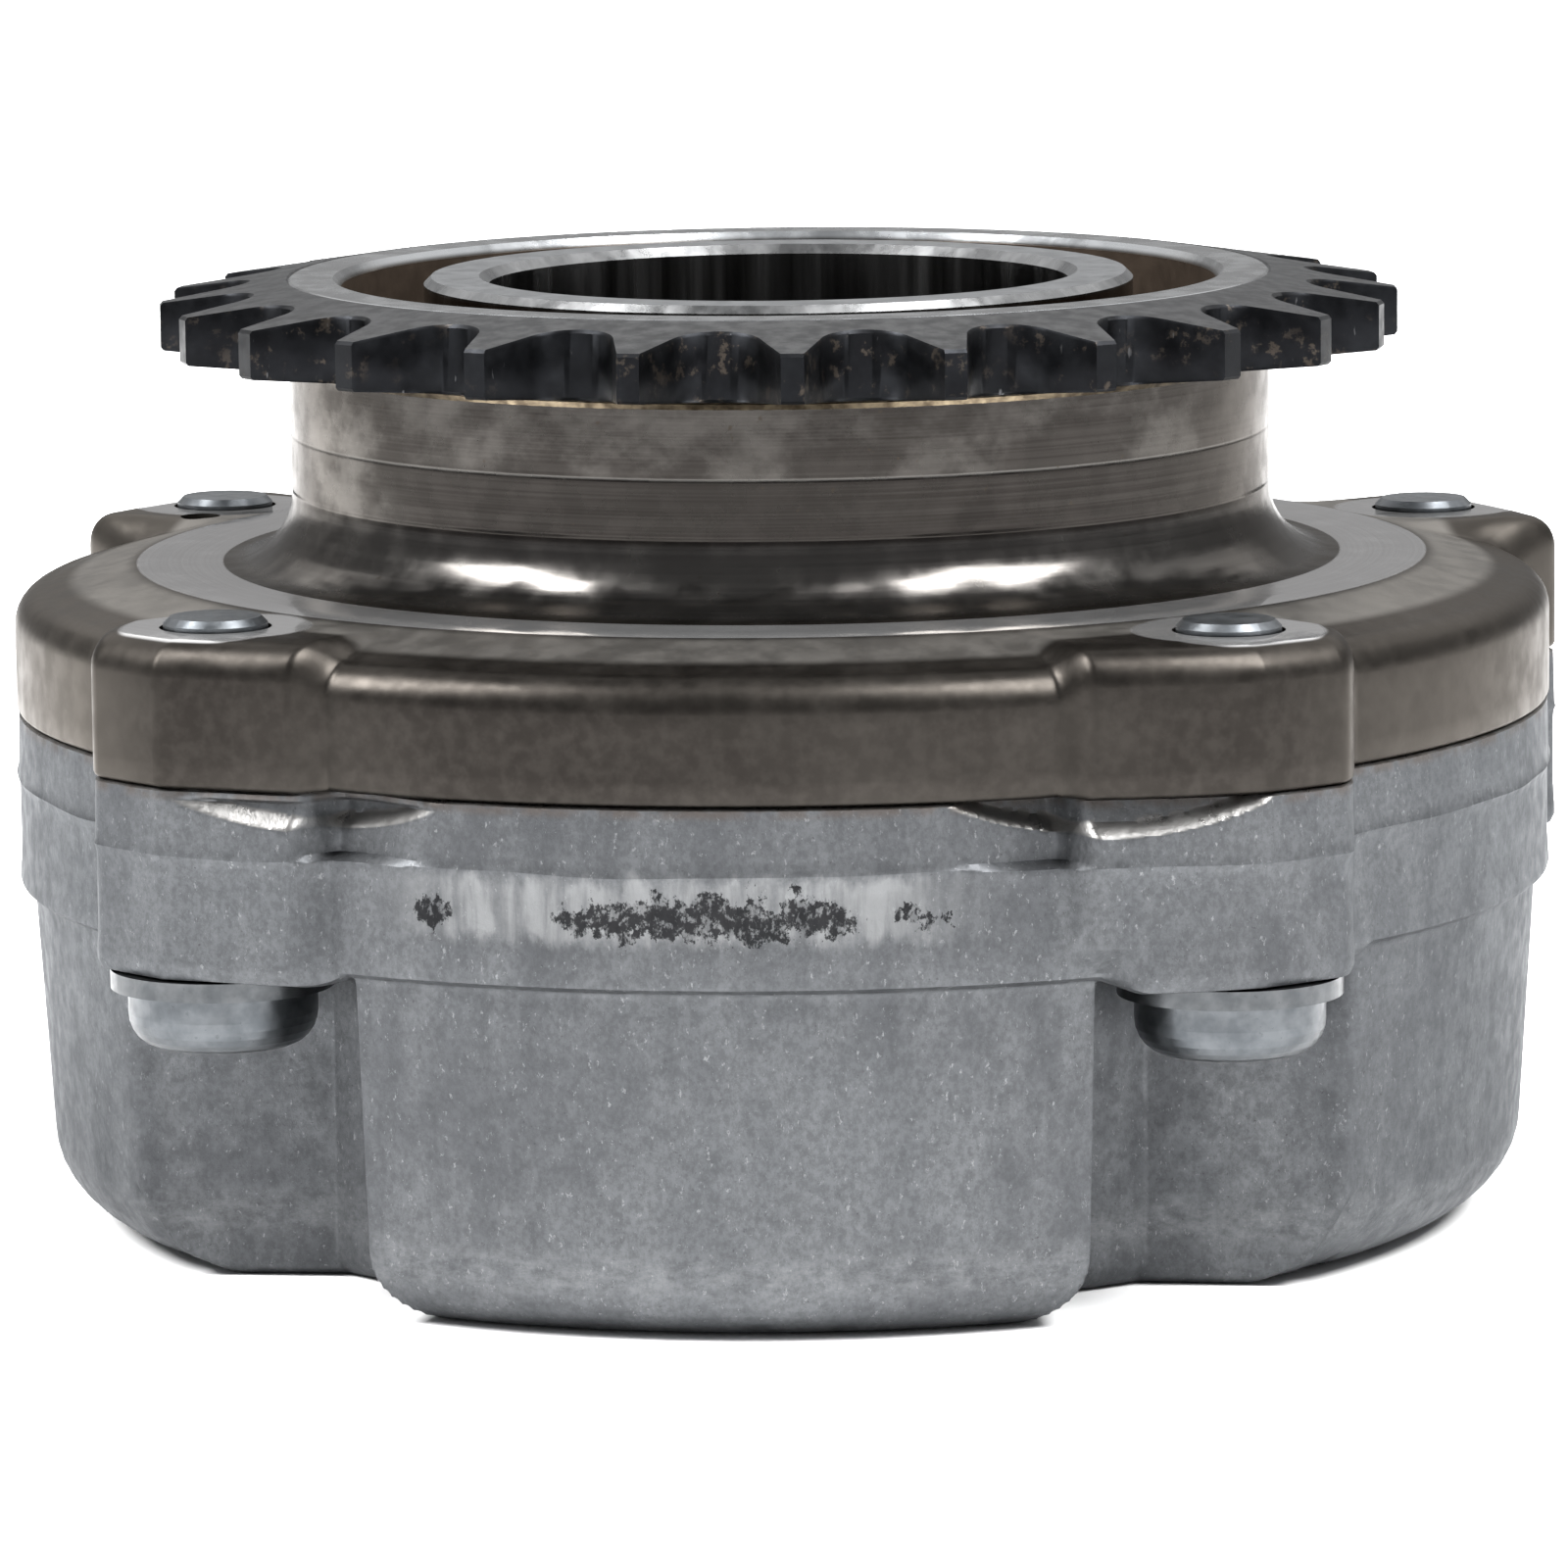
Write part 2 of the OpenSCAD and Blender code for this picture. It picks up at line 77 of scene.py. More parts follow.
def smooth(t):
    t = min(max(t, 0.0), 1.0)
    return t * t * (3 - 2 * t)


def mix(a, b, t):
    return a + (b - a) * t


def turn_between(a, b):
    return abs((a - b + 540) % 360 - 180)


def to_screw(a):
    return min(turn_between(a, s) for s in SCREW_A)


def left_or_right(a, pair):
    return pair[0] if a % 360 > 180 else pair[1]


def front_turn(a):
    """Degrees from the front. The left front boss starts a little later than the right one."""
    b = turn_between(a, 0)
    return b + left_or_right(a, BOSS_SHIFT) * smooth((40 - b) / 6)


def flange_r(a):
    """Radius of the flange's outline: an arc over each chamber, a boss at each screw."""
    b = front_turn(a)
    if b < 81:
        first, last = FRONT_BOSS
        ramp = 0.72 * min(max((b - first) / 12, 0.0), 1.0) + 0.28 * smooth((b - first + 0.2) / 2.0)
        weight = min(ramp, smooth((last - b) / 7))
    else:
        centre, half = REAR_BOSS
        weight = smooth((half - abs(b - centre)) / 4.5)
    return ARC_R + (BOSS_R - ARC_R) * weight


def shoulder_drop(a):
    """How far the cover's shoulder lies below the bosses' faces."""
    b = front_turn(a)
    if b < 81:
        boss = min(smooth((b - FRONT_BOSS[0] + 0.4) / 2.2), smooth((FRONT_BOSS[1] - 0.2 - b) / 4))
    else:
        boss = smooth((REAR_BOSS[1] - 0.5 - abs(b - REAR_BOSS[0])) / 3)
    return SHOULDER_STEP * (1 - boss)


def pocket_at(a):
    """Radius of the pocket under a screw head. Beyond a front screw, its wall is a flat one
    facing forwards."""
    b = turn_between(a, 0)
    if FLAT_WALL[0] < b < FLAT_WALL[1]:
        return max(POCKET_R, POCKET_WALL / math.cos(math.radians(b)))
    return POCKET_R


def polar(r, a, z):
    t = math.radians(a)
    return (r * math.sin(t) * MM, -r * math.cos(t) * MM, z * MM)


def columns(extra=()):
    """Angles round the axis, closer together where the outline turns."""
    out = {round(i * 0.75, 3) for i in range(480)}
    for s in SCREW_A:
        for i in range(-105, 106):
            out.add(round((s + i * 0.2) % 360, 3))
    out |= {round(a % 360, 3) for a in extra}
    return sorted(out)


def polar_mesh(name, angles, section):
    """A closed body. section(a) gives the loop of (radius, height) points at angle a."""
    mesh = bpy.data.meshes.new(name)
    loops = [section(a) for a in angles]
    n, k = len(loops), len(loops[0])
    verts = [polar(r, a, z) for a, loop in zip(angles, loops) for r, z in loop]
    faces = []
    for i in range(n):
        this, following = i * k, (i + 1) % n * k
        for j in range(k):
            up = (j + 1) % k
            faces.append((this + j, this + up, following + up, following + j))
    mesh.from_pydata(verts, [], faces)
    obj = bpy.data.objects.new(name, mesh)
    bpy.context.scene.collection.objects.link(obj)
    return obj


def settle(obj, angle=32):
    """Outward normals, and smooth shading up to an edge angle."""
    bm = bmesh.new()
    bm.from_mesh(obj.data)
    bmesh.ops.remove_doubles(bm, verts=bm.verts, dist=2e-7)
    bmesh.ops.recalc_face_normals(bm, faces=bm.faces)
    for e in bm.edges:
        e.smooth = len(e.link_faces) == 2 and e.calc_face_angle(0) < math.radians(angle)
    for f in bm.faces:
        f.smooth = True
    bm.to_mesh(obj.data)
    bm.free()


def drill(obj, holes):
    """Cuts round holes along Z: (radius from the axis, angle, hole radius, z0, z1)."""
    for r, a, hole, z0, z1 in holes:
        x, y, _ = polar(r, a, 0)
        bm = bmesh.new()
        bmesh.ops.create_cone(
            bm, cap_ends=True, segments=48, radius1=hole * MM, radius2=hole * MM,
            depth=(z1 - z0) * MM, matrix=Matrix.Translation((x, y, (z0 + z1) / 2 * MM)),
        )
        mesh = bpy.data.meshes.new("cutter")
        bm.to_mesh(mesh)
        bm.free()
        cutter = bpy.data.objects.new("cutter", mesh)
        bpy.context.scene.collection.objects.link(cutter)
        mod = obj.modifiers.new("cut", "BOOLEAN")
        mod.object, mod.operation, mod.solver = cutter, "DIFFERENCE", "EXACT"
        bpy.context.view_layer.update()
        solved = obj.evaluated_get(bpy.context.evaluated_depsgraph_get())
        done = bpy.data.meshes.new_from_object(solved)
        obj.modifiers.clear()
        obj.data = done
        bpy.data.objects.remove(cutter)


# ---- housing ----

SLOT_HALF = math.degrees(SEAL_SLOT[1] / (HUB_R + 1))


def cavity_r(a):
    """Radius of the inner wall: the chambers, and the seal slot in each web between them."""
    for centre, width in CHAMBERS:
        if turn_between(a, centre) <= width / 2:
            return CHAMBER_R
    return HUB_R + TIP_GAP + (SEAL_SLOT[0] if to_screw(a) <= SLOT_HALF else 0)


def notch_depth(a, z):
    """The lens-shaped notches in the flange's top edge, where the front bosses start."""
    for centre, deep in NOTCHES:
        across = math.radians(turn_between(a, centre)) * NOTCH_AT_R
        if across < NOTCH_HALF:
            high = NOTCH_H * (1 - (across / NOTCH_HALF) ** 2)
            into = max(0.0, z - (JOINT - high))
            depth = deep * min(into / 0.7, 1.0) * min(1.0, high / 0.6)
            depth *= 0.6 + 0.4 * into / NOTCH_H
            if centre < 0:
                # the left notch gets shallower just under the joint
                depth *= 1 - 0.6 * smooth((z - JOINT + 0.62) / 0.3)
            return depth
    return 0.0


def scoop_depth(a, z, flash):
    """The hollows between a front boss and the front arc, above the parting line."""
    first, last, deep = SCOOP
    along = front_turn(a)
    if first < along < last:
        side = smooth((along - first) / 8) * smooth((last - along) / 1.6)
        return deep * side * smooth((z - flash + 0.1) / 0.45)
    return 0.0


def wander(a, z, scale):
    """Noise on the rim, between about -1 and 1."""
    return noise.noise(Vector(polar(ARC_R, a, z)) / MM * scale)


def corner_growth(z):
    """Degrees by which the pockets widen near the bottom. It rounds the lobes' lower corners."""
    reach = 4.0
    if z >= reach:
        return 0.0
    return math.degrees((reach - math.sqrt(reach * reach - (reach - z) ** 2)) / LOBE_R)


def housing_section(a):
    """From the bottom's hole out, up the lobe or the pocket, over the flange and down inside."""
    rim = flange_r(a)
    away = to_screw(a)
    if turn_between(a, 0) < 40.5:
        away += left_or_right(a, LOBE_SHIFT) * smooth(away / 6)
    floor_r = min(pocket_at(a), LOBE_R)

    def pocket(z):
        return smooth((POCKET_HALF + corner_growth(z) - away) / POCKET_SOFT)

    def between(lobe, well, weight):
        return (mix(lobe[0], well[0], weight), mix(lobe[1], well[1], weight))

    # the lobes' lower edge is rounder at the sides than in front
    side = smooth((turn_between(a, 0) - 44) / 6)
    wide, tall = (mix(front, back, side) for front, back in zip(FRONT_CORNER, SIDE_CORNER))

    def lobe_at(z):
        if z < tall:
            return LOBE_R - DRAFT - wide + wide * math.sqrt(max(1 - (1 - z / tall) ** 2, 0.0))
        return mix(LOBE_R - DRAFT, LOBE_R, (z - tall) / (BEVEL[0] - tall))

    loop = [(FRONT_HOLE + 0.3, 0.0)]
    for i in range(11):
        t = math.radians(-90 + 9 * i)
        lobe = (LOBE_R - DRAFT - wide + wide * math.cos(t), tall + tall * math.sin(t))
        z = WELL_CORNER + WELL_CORNER * math.sin(t)
        well = (min(floor_r - WELL_CORNER + WELL_CORNER * math.cos(t), lobe_at(z)), z)
        loop.append(between(lobe, well, pocket(lobe[1])))
    for f in (0.01, 0.03, 0.06, 0.12, 0.25, 0.5, 0.75, 1.0):
        z = mix(tall, BEVEL[0] - 0.3, f)
        lobe = (lobe_at(z), z)
        z = mix(WELL_CORNER, FLANGE_LOW - 1.1, f ** 0.5)
        well = (min(floor_r, lobe_at(z)), z)
        loop.append(between(lobe, well, pocket(lobe[1])))
    # over a pocket the flange has a flat underside, and over a lobe it starts with a bevel
    under = [(floor_r + 0.1, FLANGE_LOW - 0.3), (floor_r + 0.4, FLANGE_LOW),
             (rim - 0.9, FLANGE_LOW), (rim - 0.25, FLANGE_LOW + 0.15),
             (rim, FLANGE_LOW + 0.6), (rim, BEVEL[1] + 0.3)]
    bevel = [(LOBE_R + 0.02, BEVEL[0] + 0.05), (LOBE_R + 0.08, BEVEL[0] + 0.3),
             (LOBE_R + 0.25, BEVEL[0] + 0.48), (ARC_R - 0.2, BEVEL[1] - 0.1),
             (ARC_R - 0.05, BEVEL[1] + 0.02), (ARC_R, BEVEL[1] + 0.2)]
    for u, b in zip(under, bevel):
        loop.append(between(b, u, pocket(20)))
    flash = FLASH_Z + 0.3 * wander(a, 0, 0.12)
    heights = [20.5, 21.8, 23.2]
    heights += [flash + step for step in (-0.4, -0.15, -0.02, 0.1, 0.35)]
    heights += [25.5, 25.9, 26.2, 26.35, 26.5, 26.65, 26.8]
    heights += [27.0, 27.2, 27.4, 27.6, 27.7, 27.8, 27.95, 28.07]
    for z in heights:
        ridge = max(0.0, 0.14 - abs(z - flash) * 0.5) * (0.5 + abs(wander(a, 9, 0.3)))
        step = 0.09 if z < flash else 0.03 * (z - flash)
        cut = scoop_depth(a, z, flash) + notch_depth(a, z)
        loop.append((rim + ridge - step - cut, z))
    cut = notch_depth(a, JOINT) + scoop_depth(a, JOINT, flash)
    loop.append((rim - 0.32 - cut, JOINT))
    inner = cavity_r(a)
    loop += [(inner, JOINT), (inner, FLOOR), (FRONT_HOLE, FLOOR), (FRONT_HOLE, 0.3)]
    return loop


# two columns at each radial wall keep it steep
WALLS = [(centre, width / 2) for centre, width in CHAMBERS] + [(s, SLOT_HALF) for s in SCREW_A]
edges = [c + s * (half + d) for c, half in WALLS for s in (-1, 1) for d in (-0.01, 0.01)]
housing = polar_mesh("housing_cast", columns(edges), housing_section)
settle(housing)


# ---- cover ----

def cover_section(a):
    """From the inner edge up the neck's bore, down its outside and over the shoulder."""
    rim = flange_r(a)
    proud, line = NECK_R + 0.01, NECK_R - 0.012
    loop = [(SLEEVE_R + 0.05, COVER_Z), (SLEEVE_R + 0.05, NECK_BORE_Z), (NECK_BORE, NECK_BORE_Z),
            (NECK_BORE, 40.0), (NECK_BORE, TOTAL_H - 0.5), (NECK_BORE + 0.45, TOTAL_H),
            (NECK_R - 0.12, TOTAL_H), (NECK_R, TOTAL_H - 0.1), (NECK_R, 47.3), (NECK_R, 45.5),
            (NECK_R, LINE_HIGH + 0.08), (line, LINE_HIGH), (proud, LINE_HIGH - 0.08),
            (proud, LINE_HIGH - 0.2), (proud, LINE_LOW + 0.23), (proud, LINE_LOW + 0.08),
            (line, LINE_LOW), (NECK_R, LINE_LOW - 0.08)]
    for i in range(1, 13):
        t = math.radians(90 - 90 * i / 12)
        loop.append((NECK_R + FILLET - FILLET * math.sin(t),
                     FLANGE_TOP + FILLET - FILLET * math.cos(t)))
    loop += [(33.5, FLANGE_TOP), (35.5, FLANGE_TOP), (LAND_EDGE, FLANGE_TOP - 0.1)]
    edge = COVER_EDGE
    top = FLANGE_TOP - 0.22
    low = shoulder_drop(a)
    for f in (0.3, 0.65, 0.9):
        loop.append((mix(LAND_EDGE, rim - edge, f), FLANGE_TOP - 0.12 - low * f))
    top -= low
    for i in range(9):
        t = math.radians(90 * i / 8)
        loop.append((rim - edge + edge * math.sin(t), top - edge + edge * math.cos(t)))
    loop += [(rim, 32.2), (rim, 29.6), (rim, COVER_Z + 0.3), (rim - 0.1, COVER_Z + 0.12),
             (rim - 0.3, COVER_Z)]
    return loop


cover = polar_mesh("cover_forged", columns(), cover_section)
settle(cover)
below, above, above_fillet = 27, 37, 40.25
drill(cover, [(*LOCATING, LOCATING_HOLE_R, below, above)]
      + [(r, a, BUSH_SEAT_R, 26, COVER_Z + BUSH_SEAT_H) for r, a in VENTS]
      + [(r, a, VENT_R, 30, above_fillet) for r, a in VENTS]
      + [(SCREW_R, a, SCREW_HOLE_R, below, above) for a in SCREW_A])
settle(cover)


# ---- sprocket ----

def tooth_outline():
    """(angle, radius) round the sprocket, one gap at a time, starting with a gap at 0."""
    half_gap = TIP_R * math.sin(math.pi / TEETH) - TIP_LAND / 2
    edge_x = math.sqrt(TIP_R ** 2 - half_gap ** 2)
    tangent = math.atan2(half_gap, edge_x - PITCH_R)
    tangent += math.acos(SEAT_R / math.hypot(edge_x - PITCH_R, half_gap))
    turn = (2 * math.pi - 2 * tangent) / 32
    seat = [tangent + turn * i for i in range(33)]
    seat = [(PITCH_R + SEAT_R * math.cos(t), -SEAT_R * math.sin(t)) for t in seat]
    gap = [(edge_x, -half_gap), (edge_x - 0.2, -half_gap + 0.1)]
    gap += seat + [(edge_x - 0.2, half_gap - 0.1), (edge_x, half_gap)]
    out = []
    for i in range(TEETH):
        turn = 360 / TEETH * i
        out += [(turn + math.degrees(math.atan2(y, x)), math.hypot(x, y)) for x, y in gap]
        out.append((turn + 180 / TEETH, TIP_R))
    return out


def top_z(r):
    return TOTAL_H - RELIEF * (r - NECK_R) / (TIP_R - NECK_R)


def under_z(r):
    return SPROCKET_Z + UNDER * (r - NECK_R) / (TIP_R - NECK_R)


outline = tooth_outline()
radius_at = {round(a, 5): r for a, r in outline}


def sprocket_section(a):
    r = radius_at[round(a, 5)]
    b = 0.16  # chamfer round the teeth
    return [(NECK_R, SPROCKET_Z), (r - b, under_z(r - b)), (r, under_z(r) + b),
            (r, top_z(r) - b), (r - b, top_z(r - b)), (NECK_R + 0.12, TOTAL_H),
            (NECK_R, TOTAL_H - 0.1)]


sprocket = polar_mesh("sprocket_ring", [a for a, _ in outline], sprocket_section)
settle(sprocket, 40)


# ---- materials ----

class Mat:
    """A procedural surface, with its coordinates in millimetres."""

    def __init__(self, name, metallic, tint=None):
        self.m = bpy.data.materials.new(name)
        self.m.use_nodes = True
        self.t = self.m.node_tree
        self.bsdf = self.t.nodes["Principled BSDF"]
        self.bsdf.inputs["Metallic"].default_value = metallic
        if tint:
            self.bsdf.inputs["Specular Tint"].default_value = (*tint, 1)
        coord = self.t.nodes.new("ShaderNodeTexCoord")
        scale = self.t.nodes.new("ShaderNodeVectorMath")
        scale.operation = "SCALE"
        scale.inputs["Scale"].default_value = 1 / MM
        self.link(coord.outputs["Object"], scale.inputs[0])
        self.pos = scale.outputs[0]
        sep = self.t.nodes.new("ShaderNodeSeparateXYZ")
        self.link(self.pos, sep.inputs[0])
        self.x, self.y, self.z = sep.outputs
        squares = self.plus(self.times(self.x, self.x), self.times(self.y, self.y))
        self.r = self.math("SQRT", squares)

    def link(self, a, b):
        self.t.links.new(a, b)

    def math(self, op, a, b=None):
        n = self.t.nodes.new("ShaderNodeMath")
        n.operation = op
        for i, v in enumerate((a, b)):
            if v is None:
                continue
            if isinstance(v, (int, float)):
                n.inputs[i].default_value = v
            else:
                self.link(v, n.inputs[i])
        return n.outputs[0]

    def times(self, a, b):
        return self.math("MULTIPLY", a, b)

    def plus(self, a, b):
        return self.math("ADD", a, b)

    def minus(self, a, b):
        return self.math("SUBTRACT", a, b)

    def larger(self, a, b):
        return self.math("MAXIMUM", a, b)

    def step(self, v, lo, hi, to_lo=0.0, to_hi=1.0):
        """A soft step from to_lo at lo to to_hi at hi."""
        n = self.t.nodes.new("ShaderNodeMapRange")
        n.interpolation_type = "SMOOTHSTEP"
        self.link(v, n.inputs["Value"])
        for k, w in (("From Min", lo), ("From Max", hi), ("To Min", to_lo), ("To Max", to_hi)):
            n.inputs[k].default_value = w
        return n.outputs[0]

    def band(self, v, lo, hi, soft):
        """1 between lo and hi, with soft edges."""
        return self.times(self.step(v, lo - soft, lo + soft),
                          self.step(v, hi - soft, hi + soft, 1, 0))

    def noise(self, scale, detail=4, stretch=(1, 1, 1), rough=0.55, seed=0.0, vector=None):
        m = self.t.nodes.new("ShaderNodeMapping")
        self.link(vector or self.pos, m.inputs["Vector"])
        m.inputs["Scale"].default_value = stretch
        m.inputs["Location"].default_value = (seed, seed * 1.7, seed * 0.6)
        n = self.t.nodes.new("ShaderNodeTexNoise")
        self.link(m.outputs[0], n.inputs["Vector"])
        n.inputs["Scale"].default_value = scale
        n.inputs["Detail"].default_value = detail
        n.inputs["Roughness"].default_value = rough
        return n.outputs["Fac"]

    def by_radius(self):
        """Coordinates for noise that runs in rings round the axis."""
        n = self.t.nodes.new("ShaderNodeCombineXYZ")
        self.link(self.r, n.inputs[0])
        return n.outputs[0]

    def blend(self, fac, a, b):
        n = self.t.nodes.new("ShaderNodeMix")
        n.data_type = "RGBA"
        self.link(fac, n.inputs[0])
        for i, v in ((6, a), (7, b)):
            if isinstance(v, tuple):
                n.inputs[i].default_value = (*v, 1)
            else:
                self.link(v, n.inputs[i])
        return n.outputs[2]

    def coat(self, colour, mask, over, amount):
        """Another colour laid over this one, where the mask says."""
        return self.blend(self.times(mask, amount), colour, over)

    def up(self):
        """The Z part of the surface normal: 1 on faces that look up."""
        g = self.t.nodes.new("ShaderNodeTexCoord")
        s = self.t.nodes.new("ShaderNodeSeparateXYZ")
        self.link(g.outputs["Normal"], s.inputs[0])
        return s.outputs[2]

    def finish(self, colour, rough, height, strength, distance):
        self.link(colour, self.bsdf.inputs["Base Color"])
        self.link(rough, self.bsdf.inputs["Roughness"])
        b = self.t.nodes.new("ShaderNodeBump")
        b.inputs["Strength"].default_value = strength
        b.inputs["Distance"].default_value = distance * MM
        self.link(height, b.inputs["Height"])
        self.link(b.outputs[0], self.bsdf.inputs["Normal"])
        return self.m


PATCH_X, PATCH_Z, FRONT_Y = (-14.5, 12.0), (21.3, 24.4), -33
SMEARS = [(-6.4, 7.4, 2.2, 1.5), (-14.7, -13.4, 1.0, 1.2), (9.6, 13.0, 1.2, 0.5)]
SMEAR_Z = 22.4


def scrubbed_patch(m, colour, front):
    """A lighter band on the front arc, as wide as PATCH_X and as high as PATCH_Z say."""
    wavy = m.times(m.minus(m.noise(0.9, 5, (1, 1, 0.4), 0.65, 61), 0.5), 2.6)
    tall = m.band(m.plus(m.z, wavy), *PATCH_Z, 0.5)
    scrub = m.step(m.noise(1.1, 4, (1, 1, 0.15), 0.6, 62), 0.35, 0.62, 0.30, 0.85)
    patch = m.times(m.times(front, m.band(m.x, *PATCH_X, 3.5)), tall)
    colour = m.coat(colour, patch, (0.1617, 0.1643, 0.167), scrub)
    return colour


def smears(m, colour, front):
    """Dark smears in the patch. Each of SMEARS says where along X, how soft and how tall."""
    ragged = m.times(m.minus(m.noise(0.8, 6, (1, 1, 0.7), 0.74, 31), 0.5), 7.5)
    reach = None
    for low, high, soft, most in SMEARS:
        spot = m.times(m.band(m.x, low, high, soft), most)
        reach = m.larger(reach, spot) if reach else spot
    away = m.math("ABSOLUTE", m.minus(m.z, SMEAR_Z))
    inside = m.minus(m.plus(reach, ragged), m.times(away, 1.35))
    speck = m.step(m.noise(2.4, 5, (1, 1, 0.7), 0.75, 71), 0.40, 0.50, 0.25, 1.0)
    smear = m.times(m.times(m.step(inside, 0.0, 0.3), speck), front)
    smear = m.times(smear, m.step(reach, 0.05, 0.3))
    colour = m.coat(colour, smear, (0.008, 0.008, 0.009), 0.9)
    return colour, smear


def cast_aluminium():
    m = Mat("cast_aluminium", 0.8, (0.55, 0.56, 0.57))
    cloud = m.step(m.noise(0.09, 5), 0.35, 0.65)
    colour = m.blend(cloud, (0.0594, 0.0618, 0.0659), (0.0792, 0.0827, 0.0874))
    flow = m.step(m.noise(0.35, 6, (1, 1, 0.35), seed=4), 0.38, 0.66)
    colour = m.coat(colour, flow, (0.1042, 0.1079, 0.1128), 0.6)
    fine = m.step(m.noise(2.6, 5, (1, 1, 0.8), 0.75, 51), 0.36, 0.64)
    colour = m.coat(colour, fine, (0.0372, 0.0391, 0.0415), 0.5)
    light = m.step(m.noise(2.6, 4, (1.2, 1.2, 0.7), 0.75, 11), 0.60, 0.70)
    dark = m.step(m.noise(4.2, 3, (1, 1, 1), 0.7, 23), 0.65, 0.72)
    colour = m.coat(colour, light, (0.2604, 0.2666, 0.2728), 0.4)
    colour = m.coat(colour, dark, (0.031, 0.0322, 0.0341), 0.7)
    # scuffed lower edge of the lobes
    scuff = m.times(m.band(m.z, 2.4, 4.6, 0.9),
                    m.step(m.noise(0.7, 6, (1, 1, 2), 0.75, 91), 0.36, 0.68))
    colour = m.coat(colour, scuff, (0.205, 0.209, 0.214), 0.26)
    front = m.step(m.y, FRONT_Y - 1, FRONT_Y + 1, 1, 0)
    colour = scrubbed_patch(m, colour, front)
    colour, smear = smears(m, colour, front)
    # bright machined faces in the notches, with a painted highlight where they face up, and grime
    # under the joint
    cut = m.times(m.step(m.z, 26.1, 26.3), m.step(m.up(), 0.2, 0.45))
    colour = m.coat(colour, cut, (0.15, 0.147, 0.1425), 0.9)
    grime = m.times(m.step(m.z, 27.45, 27.95), m.step(m.noise(0.7, 4, seed=81), 0.35, 0.6))
    colour = m.coat(colour, grime, (0.06, 0.045, 0.035), 0.5)
    rough = m.step(m.noise(0.8, 5, seed=2), 0.3, 0.7, 0.42, 0.58)
    rough = m.minus(rough, m.times(cut, 0.16))
    rough = m.plus(rough, m.times(smear, 0.3))
    height = m.plus(m.noise(1.6, 6, seed=6), m.times(light, 0.3))
    height = m.plus(height, m.times(fine, 0.25))
    return m.finish(colour, rough, height, 0.4, 0.06)


def turned_neck(m, colour):
    """The neck and its fillet: painted light at the left, lighter patches above 43 mm, a painted
    reflection on the fillet, a painted highlight line, painted shade at the ends, and pits.
    """
    neck = m.times(m.step(m.r, 31.4, 30.6), m.step(m.z, 36.0, 36.4))
    lines = m.noise(1.0, 4, (0.02, 0.02, 5.5), 0.6, 5)
    turned = m.blend(m.step(lines, 0.35, 0.65), (0.0164, 0.0146, 0.0132), (0.0239, 0.0218, 0.0198))
    colour = m.blend(neck, colour, turned)
    # painted reflection: the fillet is coloured lighter than the neck's steel
    fillet = m.times(m.step(m.r, 35.2, 34.6), m.band(m.z, 36.25, 39.7, 0.15))
    painted_fillet_reflection = m.blend(m.step(lines, 0.35, 0.65), (0.046, 0.0435, 0.041), (0.060, 0.057, 0.0535))
    colour = m.blend(fillet, colour, painted_fillet_reflection)
    # painted light on the neck's left side, and lighter patches above 43 mm
    left_light_and_upper_patches = m.step(m.noise(0.16, 6, (1, 1, 1.5), 0.62, 17), 0.44, 0.66)
    side = m.larger(m.step(m.x, -17, -24), m.times(m.step(m.z, 43.0, 43.4), 0.30))
    left_light_and_upper_patches = m.times(m.times(left_light_and_upper_patches, side), neck)
    colour = m.coat(colour, left_light_and_upper_patches, (0.130, 0.123, 0.114), 0.75)
    # painted shade at the neck's left and right edges
    painted_edge_shade = m.times(m.step(m.math("ABSOLUTE", m.x), 22, 29, 0, 0.5), neck)
    colour = m.blend(painted_edge_shade, colour, (0.010, 0.0094, 0.0088))
    # painted highlight: a bright line along the upper turned line
    band = m.times(m.band(m.z, LINE_HIGH - 0.06, LINE_HIGH + 0.06, 0.05), neck)
    colour = m.coat(colour, band, (0.156, 0.15, 0.141), 0.5)
    pits = m.times(m.step(m.noise(2.0, 2, seed=41), 0.72, 0.75), neck)
    colour = m.coat(colour, pits, (0.028, 0.0227, 0.0175), 0.7)
    return colour, neck, lines


def machined_faces(m, colour):
    """The land round the fillet, the faces round the screws' ends, and the neck's end face."""
    rings = m.noise(1.0, 3, (7, 1, 1), 0.6, 9, m.by_radius())
    faced = m.blend(m.step(rings, 0.3, 0.7), (0.740, 0.742, 0.748), (0.860, 0.864, 0.870))
    flat = m.band(m.r, *LAND, 0.08)
    # squared distances: the faces round the screws' ends have a radius of about 5 mm
    for a in SCREW_A:
        x, y = SCREW_R * math.sin(math.radians(a)), -SCREW_R * math.cos(math.radians(a))
        dx, dy = m.minus(m.x, x), m.minus(m.y, y)
        gone = m.plus(m.times(dx, dx), m.times(dy, dy))
        flat = m.larger(flat, m.step(gone, 27, 23))
    land = m.times(flat, m.step(m.up(), 0.9, 0.98))
    colour = m.coat(colour, land, faced, 0.8)
    end = m.times(m.step(m.z, 51.1, 51.4), m.step(m.up(), 0.4, 0.7))
    colour = m.blend(end, colour, (0.260, 0.268, 0.276))
    return colour, land


